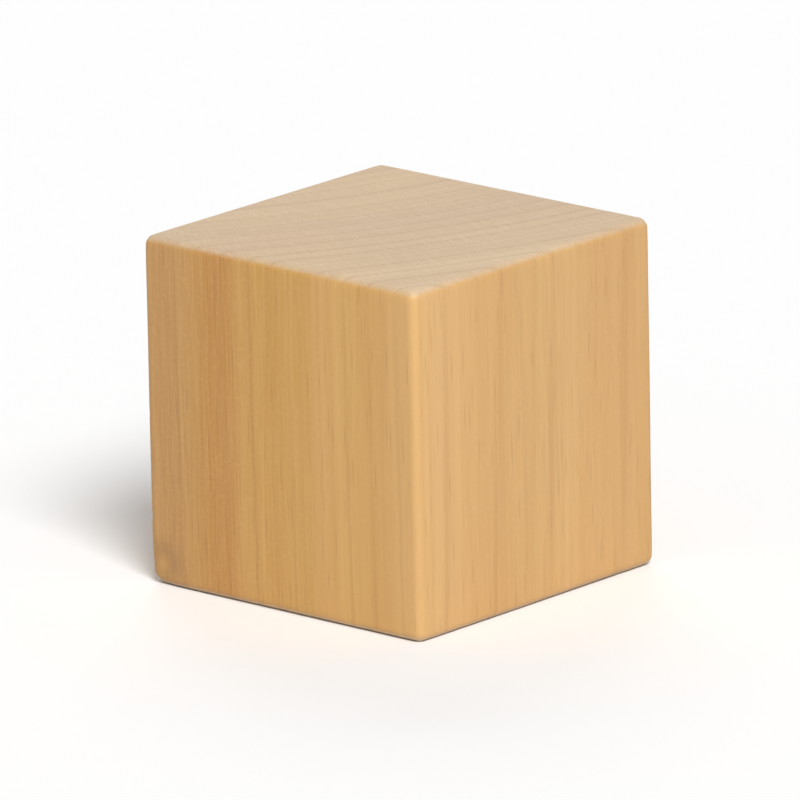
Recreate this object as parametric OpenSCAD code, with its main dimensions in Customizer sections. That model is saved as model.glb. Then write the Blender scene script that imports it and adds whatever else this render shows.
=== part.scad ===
// Small solid wooden cube for building, sorting and craft work.
// It is sawn from a square stick of fine-grained hardwood, and its edges are sanded round.
// The grain runs along Z, so the end grain shows on the top and the bottom face.
// All sizes are in millimetres. The origin is the middle of the bottom face.

/* [Cube] */
// Side length of the cube, face to face
side = 25; // [10:1:50]
// Radius of the sanded rounding on the edges and corners
edge_radius = 0.6; // [0.2:0.1:4]

/* [Hidden] */
// Number of steps in a full circle of the rounding
$fn = 64;
// Distance from the middle of the cube to the centre line of each edge's rounding
reach = side / 2 - edge_radius;
// Length of the flat stretch between two roundings
flat = side - 2 * edge_radius;

// Full height along Z, short of the rounding in the other two directions
module slab() {
    cube([flat, flat, side], center = true);
}

// The four edges that run along Z
module upright_edges() {
    for (x = [-reach, reach], y = [-reach, reach])
        translate([x, y, 0])
            cylinder(r = edge_radius, h = flat, center = true);
}

// The eight corners
module corners() {
    for (x = [-reach, reach], y = [-reach, reach], z = [-reach, reach])
        translate([x, y, z])
            sphere(r = edge_radius);
}

// Cube with its middle at the origin: the same slab and edges along each axis, and the corners
module rounded_cube() {
    union() {
        for (turn = [[0, 0, 0], [90, 0, 0], [0, 90, 0]])
            rotate(turn) {
                slab();
                upright_edges();
            }
        corners();
    }
}

// The whole object is one piece of wood
module wooden_cube() {
    color("burlywood")
        translate([0, 0, side / 2])
            rounded_cube();
}

wooden_cube();
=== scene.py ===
import math

import bpy
import numpy as np
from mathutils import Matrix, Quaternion, Vector, noise


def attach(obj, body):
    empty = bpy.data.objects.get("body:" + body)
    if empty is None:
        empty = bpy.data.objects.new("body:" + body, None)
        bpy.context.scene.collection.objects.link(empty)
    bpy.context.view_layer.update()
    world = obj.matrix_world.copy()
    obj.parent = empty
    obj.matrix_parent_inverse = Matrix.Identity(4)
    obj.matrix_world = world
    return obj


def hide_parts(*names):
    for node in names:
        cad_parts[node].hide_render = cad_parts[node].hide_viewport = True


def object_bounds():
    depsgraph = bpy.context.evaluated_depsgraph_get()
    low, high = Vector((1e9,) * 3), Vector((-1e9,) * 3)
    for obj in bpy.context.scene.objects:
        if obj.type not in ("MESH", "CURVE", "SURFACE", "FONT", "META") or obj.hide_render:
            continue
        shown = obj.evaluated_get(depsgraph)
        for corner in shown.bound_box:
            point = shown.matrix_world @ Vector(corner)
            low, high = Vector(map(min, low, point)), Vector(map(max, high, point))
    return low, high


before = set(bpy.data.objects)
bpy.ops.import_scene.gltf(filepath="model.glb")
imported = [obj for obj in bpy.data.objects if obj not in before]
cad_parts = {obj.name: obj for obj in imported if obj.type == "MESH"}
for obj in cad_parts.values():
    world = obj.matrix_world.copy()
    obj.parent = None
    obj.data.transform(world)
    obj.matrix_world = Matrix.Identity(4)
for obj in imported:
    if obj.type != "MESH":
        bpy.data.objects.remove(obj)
cad_low, cad_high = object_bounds()

# The cube. One block of birch, sawn off a square stick, so the fibres run upright and the two sawn ends are
# the top and the bottom. The faces were sanded flat, and tumbling with grit took the edge off the arrises
# and left a few small knocks. All lengths in this section are millimetres.
half_side = (cad_high.x - cad_low.x) / 2 * 1000

# Grid lines across a face, closer together in a band along both edges, where the rounding is. The tangent
# spaces them almost evenly round it.
edge_band = 1.0
edge_steps = 6
flat_steps = 110
flat_half = half_side - edge_band
edge_lines = flat_half + np.tan(np.linspace(0, math.pi / 4, edge_steps + 1)[1:]) * edge_band
flat_lines = np.linspace(-flat_half, flat_half, flat_steps + 1)
grid_lines = np.concatenate([-edge_lines[::-1], flat_lines, edge_lines])
across = len(grid_lines)

# Six square grids of points, each point given by the grid lines that it lies on. Every other grid is turned
# over, so that all six look outwards, and grids that meet share the points along the edge.
rows, columns = np.meshgrid(np.arange(across), np.arange(across), indexing="ij")
grids = []
squares = []
for axis in range(3):
    for level in (0, across - 1):
        grid = np.zeros((across, across, 3), int)
        grid[..., axis] = level
        grid[..., (axis + 1) % 3] = rows
        grid[..., (axis + 2) % 3] = columns
        number = np.arange(across**2).reshape(across, across) + len(grids) * across**2
        corners = np.stack([number[:-1, :-1], number[1:, :-1], number[1:, 1:], number[:-1, 1:]], -1)
        grids.append(grid.reshape(-1, 3))
        squares.append(corners.reshape(-1, 4)[:, :: 1 if level else -1])
places, shared = np.unique(np.concatenate(grids), axis=0, return_inverse=True)
faces = shared.reshape(-1)[np.concatenate(squares)]
sharp = grid_lines[places]


def wave(points, size, seed):
    """Smooth noise, about -1 to 1, in bumps of the given size along each axis."""
    return np.array([noise.noise(p) for p in points / size + seed])


# The rounding is a little uneven along each edge, and the corners are worn back slightly further. The low
# corner on the left of the front face has been crushed.
edge_radius = 0.6
edge_unevenness = 0.12
unevenness_size = (8, 8, 8)
corner_wear = 0.12
corner_band = 1.9
crushed_corner = (-half_side, -half_side, -half_side)
crushed_wear = 0.35
crushed_reach = 0.9
radius = edge_radius * (1 + edge_unevenness * wave(sharp, unevenness_size, seed=3.1))
into_corner = np.clip(1 - (half_side - np.abs(sharp).min(1)) / corner_band, 0, 1)
radius += corner_wear * into_corner**2
from_crushed = np.linalg.norm(sharp - crushed_corner, axis=1) / crushed_reach
radius += crushed_wear * np.exp(-(from_crushed**2))
core = np.clip(sharp, -(half_side - radius)[:, None], (half_side - radius)[:, None])
outward = sharp - core
outward /= np.linalg.norm(outward, axis=1)[:, None]
surface = core + outward * radius[:, None]

# Growth: one ring a year round a pith that lay outside the stick, to the left and behind. The count of
# years starts a little nearer the pith than the cube's innermost wood. The rings wander slightly, and the
# grain leans by less than a degree.
pith = np.array((-50.6, 21.5))
ring_width_range = (1.2, 2.5)
rings_grown = 40
inner_margin = 3
grain_lean = 0.012
slow_wander = 0.30
slow_wander_size = (20, 20, 45)
quick_wander = 0.07
quick_wander_size = (4.5, 4.5, 20)
from_pith = surface[:, :2] - pith
ring_radius = np.linalg.norm(from_pith, axis=1) + grain_lean * surface[:, 2]
ring_radius += slow_wander * wave(surface, slow_wander_size, seed=8.7)
ring_radius += quick_wander * wave(surface, quick_wander_size, seed=5.3)
ring_arc = np.arctan2(from_pith[:, 1], from_pith[:, 0]) * np.linalg.norm(pith)
ring_widths = np.random.default_rng(seed=11).uniform(*ring_width_range, rings_grown)
ring_edges = ring_radius.min() - inner_margin + np.cumsum(ring_widths)
ring_count = np.interp(ring_radius, ring_edges, np.arange(rings_grown))

# Relief, as depths below the flat faces. On the sides the late wood at the end of each year stands proud,
# and bundles of fibres leave shallow grooves. On the ends are a round saw's faint arcs and some fine pitting.
early_wood_depth = 0.004
late_wood_share = 0.18
groove_depth = 0.005
groove_size = (0.65, 0.65, 16)
saw_centre = (-95, 80)
saw_pitch = 1.2
saw_depth = 0.003
saw_wobble = 0.5
saw_wobble_size = (3.3, 3.3, 3.3)
saw_patch_size = (8, 8, 8)
pit_depth = 0.003
pit_size = (0.6, 0.6, 0.6)
end_face = outward[:, 2] ** 2
side_face = 1 - end_face
from_year_end = 0.5 - np.abs(ring_count % 1 - 0.5)
early_wood = np.clip(from_year_end / late_wood_share, 0, 1)
depth = early_wood_depth * early_wood * side_face
depth += groove_depth * (1 + wave(surface, groove_size, seed=12.4)) * side_face
saw_reach = np.linalg.norm(surface[:, :2] - saw_centre, axis=1)
saw_turns = (saw_reach + saw_wobble * wave(surface, saw_wobble_size, seed=1.9)) / saw_pitch
saw_arcs = np.sin(2 * math.pi * saw_turns) * wave(surface, saw_patch_size, seed=4.4)
depth += saw_depth * (1 + saw_arcs) * end_face
depth += pit_depth * (1 + wave(surface, pit_size, seed=6.6)) * end_face

# Sanding takes a little more off close to the edges, and the fibres are ragged where the ends meet the
# sides. The high powers keep both near the edges.
edge_fall = 0.03
edge_fall_power = 14
ragged_depth = 0.012
ragged_power = 10
ragged_band = 1.0
ragged_size = (1.1, 1.1, 2)
towards_edge = (np.sort(np.abs(surface), axis=1)[:, 1] / half_side).clip(0, 1)
near_end = np.clip(1 - (half_side - np.abs(surface[:, 2])) / ragged_band, 0, 1)
ragged_ends = near_end * towards_edge**ragged_power * (1 + wave(surface, ragged_size, seed=7.7))
depth += edge_fall * towards_edge**edge_fall_power
depth += ragged_depth * ragged_ends

# Knocks from the tumbling: three in four on the edges, the others on the faces. The first and largest is the
# dent beside the crushed corner. Each knock has fallen to a fifth of its depth at its reach. Its rim, where
# it is half as deep, is darkened, partly with dirt and partly as painted shade.
largest_dent = 0.19
largest_reach = 1.45
largest_spot = (-11.25, -half_side, -10.85)
knock_total = 34
knock_reach_range = (0.25, 0.7)
knock_depth_range = (0.012, 0.045)
knock_falloff = 1.6
knocks = [(largest_spot, largest_reach, largest_dent)]
dice = np.random.default_rng(seed=5)
for i in range(knock_total):
    spot = dice.uniform(-half_side, half_side, 3)
    pressed_axes = dice.permutation(3)[: 1 if i % 4 == 0 else 2]
    spot[pressed_axes] = np.sign(spot[pressed_axes]) * half_side
    knocks.append((spot, dice.uniform(*knock_reach_range), dice.uniform(*knock_depth_range)))
dirt_and_shade = np.zeros(len(surface))
for spot, reach, dent in knocks:
    from_spot = np.linalg.norm(surface - spot, axis=1) / reach
    pressed = np.exp(-knock_falloff * from_spot**2)
    depth += dent * pressed
    # Rim darkening: partly dirt, and partly painted shade in the dent's walls
    dirt_and_shade += dent / largest_dent * 4 * pressed * (1 - pressed)

surface -= outward * depth[:, None]
surface[:, 2] += half_side

mesh = bpy.data.meshes.new("birch_cube")
mesh.from_pydata((surface / 1000).tolist(), [], faces.tolist())
mesh.shade_smooth()
cube = bpy.data.objects.new("birch_cube", mesh)
bpy.context.scene.collection.objects.link(cube)

# What the wood shows at each point: its place in the growth, the years counted up to it, how far round an
# edge it lies, from 0 on the flat faces to 1 in the middle of the rounding, and its dirt and painted shade
growth = np.stack([ring_radius, ring_arc, surface[:, 2]], 1)
# How far round an edge each point lies, which sets the paler rubbed edges and their painted highlight
round_edge = (1 - np.abs(outward).max(1)) / (1 - math.sqrt(0.5))
mesh.attributes.new("growth_mm", "FLOAT_VECTOR", "POINT").data.foreach_set("vector", growth.ravel())
for name, values in {"ring_count": ring_count, "round_edge": round_edge, "dirt_and_shade": dirt_and_shade}.items():
    mesh.attributes.new(name, "FLOAT", "POINT").data.foreach_set("value", values)


def linear(code):
    """The linear colour of an sRGB hex code."""
    parts = [int(code[i : i + 2], 16) / 255 for i in (1, 3, 5)]
    return (*[p / 12.92 if p <= 0.04045 else ((p + 0.055) / 1.055) ** 2.4 for p in parts], 1)


def add(tree, kind, inputs=None, **settings):
    """Adds a node with its settings, and sets each input, or links it from a node or a socket."""
    node = tree.nodes.new("ShaderNode" + kind)
    for name, value in settings.items():
        setattr(node, name, value)
    for key, value in (inputs or {}).items():
        named = [s for s in node.inputs if s.enabled and s.name == key]
        socket = node.inputs[key] if isinstance(key, int) else named[0]
        if isinstance(value, bpy.types.Node):
            value = next(s for s in value.outputs if s.enabled)
        if isinstance(value, bpy.types.NodeSocket):
            tree.links.new(value, socket)
        else:
            socket.default_value = value
    return node


# Bare birch, sanded: fine straight fibres, soft broad stripes and hair-thin pore lines on the sides, and a
# duller, greyer and pinker surface with faint rings on the sawn ends. It has a soft satin sheen. Each
# pattern's size is given outwards from the pith, around it, and along the grain.
birch = bpy.data.materials.new("sanded_birch")
birch.use_nodes = True
tree = birch.node_tree
tree.nodes.clear()

grown = add(tree, "Attribute", attribute_name="growth_mm").outputs["Vector"]
growth_along = add(tree, "SeparateXYZ", {"Vector": grown})
from_heart = growth_along.outputs["X"]
round_heart = growth_along.outputs["Y"]
years = add(tree, "Attribute", attribute_name="ring_count").outputs["Fac"]
place = add(tree, "TexCoord")

# 1 on the sawn ends and 0 on the sides, with a soft change in the rounding between them
upright = add(tree, "SeparateXYZ", {"Vector": place.outputs["Normal"]}).outputs["Z"]
tilt = add(tree, "Math", {0: upright}, operation="ABSOLUTE")
end_grain = add(
    tree, "MapRange", {"Value": tilt, "From Min": 0.25, "From Max": 0.85}, interpolation_type="SMOOTHSTEP"
)

# The wood is browner towards the heart of the tree and paler outside. The keys are millimetres from the pith.
heart_tones = {
    50: "#C59759",
    53: "#B08258",
    57: "#B5874D",
    59.5: "#BF9052",
    63.3: "#B98B4A",
    64: "#D8AC72",
    67: "#CEA267",
    70: "#DCAF74",
}
heart, bark = min(heart_tones), max(heart_tones)
heart_share = add(tree, "MapRange", {"Value": from_heart, "From Min": heart, "From Max": bark})
heart_tone = add(tree, "ValToRGB", {"Fac": heart_share})
stops = heart_tone.color_ramp.elements
stops.remove(stops[1])
for from_pith_mm, code in heart_tones.items():
    stop = stops[0] if from_pith_mm == heart else stops.new((from_pith_mm - heart) / (bark - heart))
    stop.color = linear(code)

# Painted warm bounce light: the wood is tinted more golden on the front face, by its angle round the pith, up
# to near the front edge
painted_bounce_gold = linear("#EEB33E")
front_side = add(
    tree,
    "MapRange",
    {"Value": round_heart, "From Min": -29.5, "From Max": -25.5, "To Min": 1.0, "To Max": 0.0},
    interpolation_type="SMOOTHSTEP",
)
painted_bounce_share = add(tree, "MapRange", {"Value": from_heart, "From Min": 49, "From Max": 55, "To Max": 0.3})
# How strongly the painted warm bounce light shows on the front face
painted_bounce = add(tree, "Math", {0: painted_bounce_share, 1: front_side}, operation="MULTIPLY")
bounce_tinted = add(tree, "Mix", {"Factor": painted_bounce, "A": heart_tone, "B": painted_bounce_gold}, data_type="RGBA")

# A deeper orange stripe in it, 3 mm wide, runs down the front face near its left edge
stripe_orange = linear("#B4701C")
stripe_start = add(tree, "MapRange", {"Value": from_heart, "From Min": 54.3, "From Max": 56.0, "To Max": 0.6})
stripe_end = add(
    tree, "MapRange", {"Value": from_heart, "From Min": 57.3, "From Max": 58.2, "To Min": 1.0, "To Max": 0.0}
)
stripe_width = add(tree, "Math", {0: stripe_start, 1: stripe_end}, operation="MULTIPLY")
stripe = add(tree, "Math", {0: stripe_width, 1: front_side}, operation="MULTIPLY")
striped = add(tree, "Mix", {"Factor": stripe, "A": bounce_tinted, "B": stripe_orange}, data_type="RGBA")

# Broad drifts of tone
drift_size = (5, 11, 83)
drift_yellow = linear("#EABD7E")
drift_space = add(tree, "Mapping", {"Vector": grown, "Scale": [1 / mm for mm in drift_size]})
drifts = add(tree, "TexNoise", {"Vector": drift_space, "Scale": 1.0, "Detail": 2.0, "Roughness": 0.4})
drift_tone = add(tree, "MapRange", {"Value": drifts, "From Min": 0.35, "From Max": 0.7, "To Max": 0.28})
drifted = add(tree, "Mix", {"Factor": drift_tone, "A": striped, "B": drift_yellow}, data_type="RGBA")

# Bundles of fibres, longer than the cube
bundle_size = (0.5, 0.5, 33)
bundle_brown = linear("#B57C3F")
bundle_space = add(tree, "Mapping", {"Vector": grown, "Scale": [1 / mm for mm in bundle_size]})
bundles = add(tree, "TexNoise", {"Vector": bundle_space, "Scale": 1.0, "Detail": 2.0, "Roughness": 0.5})
bundle_tone = add(tree, "MapRange", {"Value": bundles, "From Min": 0.35, "From Max": 0.7, "To Max": 0.18})
bundled = add(tree, "Mix", {"Factor": bundle_tone, "A": drifted, "B": bundle_brown}, data_type="RGBA")

# Single fibres: the real ones are 0.02 mm wide, and are drawn six times as coarse to show
fibre_size = (0.125, 0.125, 7)
fibre_yellow = linear("#E8BC78")
fibre_space = add(tree, "Mapping", {"Vector": grown, "Scale": [1 / mm for mm in fibre_size]})
fibres = add(tree, "TexNoise", {"Vector": fibre_space, "Scale": 1.0, "Detail": 2.0, "Roughness": 0.5})
fibre_tone = add(tree, "MapRange", {"Value": fibres, "From Min": 0.36, "From Max": 0.64, "To Max": 0.24})
fibred = add(tree, "Mix", {"Factor": fibre_tone, "A": bundled, "B": fibre_yellow}, data_type="RGBA")

# Each year's ring shades softly into the next
raggedness = 0.10
ring_brown = linear("#BF8646")
ragged_years = add(tree, "Math", {0: fibres, 1: raggedness, 2: years}, operation="MULTIPLY_ADD")
ring_tone = add(tree, "TexNoise", {"W": ragged_years, "Scale": 0.9, "Detail": 1.0}, noise_dimensions="1D")
ring_tint = add(tree, "MapRange", {"Value": ring_tone, "From Min": 0.35, "From Max": 0.65, "To Max": 0.20})
toned = add(tree, "Mix", {"Factor": ring_tint, "A": fibred, "B": ring_brown}, data_type="RGBA")

# A thin darker line lies between one year and the next. Fibres make it ragged, and it fades and comes back
# along the grain.
line_brown = linear("#A56C34")
in_ring = add(tree, "Math", {0: ragged_years}, operation="FRACT")
off_middle = add(tree, "Math", {0: in_ring, 1: 0.5}, operation="SUBTRACT")
towards_line = add(tree, "Math", {0: off_middle}, operation="ABSOLUTE")
year_end = add(tree, "MapRange", {"Value": towards_line, "From Min": 0.40, "From Max": 0.5, "To Max": 0.20})
fading = add(tree, "MapRange", {"Value": bundles, "From Min": 0.38, "From Max": 0.62, "To Min": 0.25})
year_line = add(tree, "Math", {0: year_end, 1: fading}, operation="MULTIPLY")
lined = add(tree, "Mix", {"Factor": year_line, "A": toned, "B": line_brown}, data_type="RGBA")

# Rays: fine pale flecks that point away from the pith. The real ones are 0.04 mm wide, drawn four times that.
ray_size = (2.2, 0.17, 0.29)
ray_cream = linear("#E9C084")
ray_space = add(tree, "Mapping", {"Vector": grown, "Scale": [1 / mm for mm in ray_size]})
rays = add(tree, "TexNoise", {"Vector": ray_space, "Scale": 1.0, "Detail": 1.0, "Roughness": 0.5})
ray_tone = add(tree, "MapRange", {"Value": rays, "From Min": 0.5, "From Max": 0.75, "To Max": 0.11})
rayed = add(tree, "Mix", {"Factor": ray_tone, "A": lined, "B": ray_cream}, data_type="RGBA")

# Pores: dark hairlines, one in each cell of this size. The real ones are 0.06 mm wide, drawn as 0.1 mm.
pore_spacing = (0.26, 0.26, 6)
pore_brown = linear("#9A6230")
pore_darkness = 0.24
pore_space = add(tree, "Mapping", {"Vector": grown, "Scale": [1 / mm for mm in pore_spacing]})
pore_cells = add(tree, "TexVoronoi", {"Vector": pore_space, "Scale": 1.0}, feature="F1")
pores = add(
    tree, "MapRange", {"Value": pore_cells, "From Min": 0.08, "From Max": 0.24, "To Min": 1.0, "To Max": 0.0}
)
pore_tone = add(tree, "Math", {0: pores, 1: pore_darkness}, operation="MULTIPLY")
pored = add(tree, "Mix", {"Factor": pore_tone, "A": rayed, "B": pore_brown}, data_type="RGBA")

# Sawn ends: greyer and pinker than the sides, with the rings and the rays showing through
end_pink = linear("#CEBCA4")
end_pinkness = 0.66
end_ring_brown = linear("#A0825F")
end_ray_cream = linear("#E4D4BB")
end_tint = add(tree, "Math", {0: end_grain, 1: end_pinkness}, operation="MULTIPLY")
ended = add(tree, "Mix", {"Factor": end_tint, "A": pored, "B": end_pink}, data_type="RGBA")
end_tone = add(tree, "MapRange", {"Value": ring_tone, "From Min": 0.35, "From Max": 0.65, "To Max": 0.12})
end_line = add(tree, "MapRange", {"Value": towards_line, "From Min": 0.38, "From Max": 0.5, "To Max": 0.22})
end_shade = add(tree, "Math", {0: end_tone, 1: end_line}, operation="ADD")
end_rings = add(tree, "Math", {0: end_shade, 1: end_grain}, operation="MULTIPLY")
end_ringed = add(tree, "Mix", {"Factor": end_rings, "A": ended, "B": end_ring_brown}, data_type="RGBA")
end_ray_tone = add(tree, "MapRange", {"Value": rays, "From Min": 0.5, "From Max": 0.75, "To Max": 0.16})
end_rays = add(tree, "Math", {0: end_ray_tone, 1: end_grain}, operation="MULTIPLY")
end_rayed = add(tree, "Mix", {"Factor": end_rays, "A": end_ringed, "B": end_ray_cream}, data_type="RGBA")

# The pores' open ends: a fine stipple, one dot in each cell of this size
stipple_spacing = (0.19, 0.19, math.inf)
stipple_brown = linear("#8F7355")
stipple_space = add(tree, "Mapping", {"Vector": grown, "Scale": [1 / mm for mm in stipple_spacing]})
stipple_cells = add(tree, "TexVoronoi", {"Vector": stipple_space, "Scale": 1.0}, feature="F1")
stipple = add(
    tree,
    "MapRange",
    {"Value": stipple_cells, "From Min": 0.15, "From Max": 0.32, "To Min": 0.24, "To Max": 0.0},
)
stipple_tone = add(tree, "Math", {0: stipple, 1: end_grain}, operation="MULTIPLY")
stippled = add(tree, "Mix", {"Factor": stipple_tone, "A": end_rayed, "B": stipple_brown}, data_type="RGBA")

# Sanding scratches straight across the ends: 120 grit leaves them about 0.1 mm wide. Here the size is along
# a scratch, across it, and down into the wood.
scratch_size = (6.7, 0.14, math.inf)
scratch_cream = linear("#E6D3BB")
scratch_turn = 0.6
scratch_space = add(
    tree,
    "Mapping",
    {
        "Vector": place.outputs["Object"],
        "Rotation": (0, 0, scratch_turn),
        "Scale": [1000 / mm for mm in scratch_size],
    },
)
scratches = add(tree, "TexNoise", {"Vector": scratch_space, "Scale": 1.0, "Detail": 2.0, "Roughness": 0.6})
scratch_tone = add(tree, "MapRange", {"Value": scratches, "From Min": 0.5, "From Max": 0.75, "To Max": 0.16})
scratch_here = add(tree, "Math", {0: scratch_tone, 1: end_grain}, operation="MULTIPLY")
scratched = add(tree, "Mix", {"Factor": scratch_here, "A": stippled, "B": scratch_cream}, data_type="RGBA")

# Rubbed edges are a little paler, partly from wear and partly as a painted highlight on the rounding, and the
# rims of knocks are darker, partly with dirt and partly as painted shade
rubbed_and_highlight_yellow = linear("#F0C284")
rubbed_and_highlight_paleness = 0.1
dirt_and_shade_brown = linear("#7E6138")
dirt_and_shade_darkness = 0.25
# Paler on the rounding: wear, and partly a painted highlight
edge_rounding = add(tree, "Attribute", attribute_name="round_edge").outputs["Fac"]
edge_tint = add(tree, "Math", {0: edge_rounding, 1: rubbed_and_highlight_paleness}, operation="MULTIPLY")
edged = add(tree, "Mix", {"Factor": edge_tint, "A": scratched, "B": rubbed_and_highlight_yellow}, data_type="RGBA")
# Darker knock rims: dirt, and partly painted shade
rim_dirt_and_shade = add(tree, "Attribute", attribute_name="dirt_and_shade").outputs["Fac"]
dirt_and_shade_tint = add(tree, "Math", {0: rim_dirt_and_shade, 1: dirt_and_shade_darkness}, operation="MULTIPLY", use_clamp=True)
colour = add(tree, "Mix", {"Factor": dirt_and_shade_tint, "A": edged, "B": dirt_and_shade_brown}, data_type="RGBA")

# Relief too fine for the mesh, in millimetres
fibre_relief = 0.016
pore_relief = 0.012
scratch_relief = 0.06
fibre_height = add(tree, "Math", {0: fibres, 1: fibre_relief}, operation="MULTIPLY")
pore_depth = add(tree, "Math", {0: pores, 1: pore_relief}, operation="MULTIPLY")
side_height = add(tree, "Math", {0: fibre_height, 1: pore_depth}, operation="SUBTRACT")
scratch_depth = add(tree, "Math", {0: scratch_here, 1: scratch_relief}, operation="MULTIPLY")
height = add(tree, "Math", {0: side_height, 1: scratch_depth}, operation="SUBTRACT")
bump = add(tree, "Bump", {"Height": height, "Distance": 0.001, "Strength": 1.0})

# Satin on the sides and duller on the ends. The IOR is that of wood fibre.
roughness = add(tree, "MapRange", {"Value": end_grain, "To Min": 0.52, "To Max": 0.68})
shader = add(
    tree, "BsdfPrincipled", {"Base Color": colour, "Roughness": roughness, "Normal": bump, "IOR": 1.53}
)
add(tree, "OutputMaterial", {"Surface": shader})
mesh.materials.append(birch)

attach(cube, "root")
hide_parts("wooden_cube")

# The floor. A plain white table top, wide enough to fill every view. It shows the camera its own white, and
# gives the cube a little less light back than white paper would. Lengths from here on are metres.
floor_half = 3.0
floor_corners = [
    (-floor_half, -floor_half, cad_low.z),
    (floor_half, -floor_half, cad_low.z),
    (floor_half, floor_half, cad_low.z),
    (-floor_half, floor_half, cad_low.z),
]
floor_mesh = bpy.data.meshes.new("floor")
floor_mesh.from_pydata(floor_corners, [], [(0, 1, 2, 3)])
floor = bpy.data.objects.new("floor", floor_mesh)
bpy.context.scene.collection.objects.link(floor)


def looked_at(tree):
    """1 where the camera looks, straight or in gloss or through glass, and 0 where light only bounces."""
    ray = add(tree, "LightPath")
    straight = ray.outputs["Is Camera Ray"]
    mirrored = add(tree, "Math", {0: straight, 1: ray.outputs["Is Glossy Ray"]}, operation="MAXIMUM")
    return add(tree, "Math", {0: mirrored, 1: ray.outputs["Is Transmission Ray"]}, operation="MAXIMUM")


# Matt white paint, with no sheen of its own
paint = bpy.data.materials.new("white_table_paint")
paint.use_nodes = True
tree = paint.node_tree
tree.nodes.clear()
returned = linear("#EBEBEB")
seen = linear("#FFFFFF")
white = add(tree, "Mix", {"Factor": looked_at(tree), "A": returned, "B": seen}, data_type="RGBA")
matt = add(tree, "BsdfDiffuse", {"Color": white})
add(tree, "OutputMaterial", {"Surface": matt})
floor_mesh.materials.append(paint)

# The light. A broad soft lamp on the right of the camera, a weak one behind on the left, and pale walls all
# round, which show white where the camera sees them. Angles are degrees, and azimuth 0 is the front.
lamps = [
    {"name": "key", "azimuth": 57, "elevation": 46, "strength": 2.5, "width": 24},
    {"name": "back", "azimuth": 225, "elevation": 40, "strength": 0.47, "width": 30},
]
for lamp in lamps:
    azimuth = math.radians(lamp["azimuth"])
    elevation = math.radians(lamp["elevation"])
    towards = Vector((
        math.sin(azimuth) * math.cos(elevation),
        -math.cos(azimuth) * math.cos(elevation),
        math.sin(elevation),
    ))
    sun = bpy.data.lights.new(lamp["name"], "SUN")
    sun.energy = lamp["strength"]
    sun.angle = math.radians(lamp["width"])
    sun_object = bpy.data.objects.new(lamp["name"], sun)
    sun_object.rotation_mode = "QUATERNION"
    sun_object.rotation_quaternion = (-towards).to_track_quat("-Z", "Y")
    bpy.context.scene.collection.objects.link(sun_object)

wall_glow = 0.32
walls = bpy.data.worlds.new("walls")
walls.use_nodes = True
bpy.context.scene.world = walls
tree = walls.node_tree
tree.nodes.clear()
glow = add(tree, "MapRange", {"Value": looked_at(tree), "To Min": wall_glow, "To Max": 1.0})
sky = add(tree, "Background", {"Color": linear("#FFFFFF"), "Strength": glow})
add(tree, "OutputWorld", {"Surface": sky})

bpy.context.scene.view_settings.view_transform = "Standard"

# The camera. It looks from the photograph's angle: a little above the cube, with one upright edge turned
# towards it, from far away through a long lens, so that the upright edges stay parallel. The picture leans
# by a degree, as the photograph does, and its width is measured at the cube.
view_azimuth = math.radians(41.5)
view_elevation = math.radians(15.6)
view_lean = math.radians(1.1)
view_distance = 1.0
picture_width = 0.0555
away = Vector((
    math.sin(view_azimuth) * math.cos(view_elevation),
    -math.cos(view_azimuth) * math.cos(view_elevation),
    math.sin(view_elevation),
))
lens = bpy.data.cameras.new("camera")
lens.lens = lens.sensor_width * view_distance / picture_width
lens.clip_end = 10.0
camera = bpy.data.objects.new("camera", lens)
camera.location = (cad_low + cad_high) / 2 + away * view_distance
camera.rotation_mode = "QUATERNION"
camera.rotation_quaternion = (-away).to_track_quat("-Z", "Y") @ Quaternion((0, 0, 1), -view_lean)
bpy.context.scene.collection.objects.link(camera)
bpy.context.scene.camera = camera
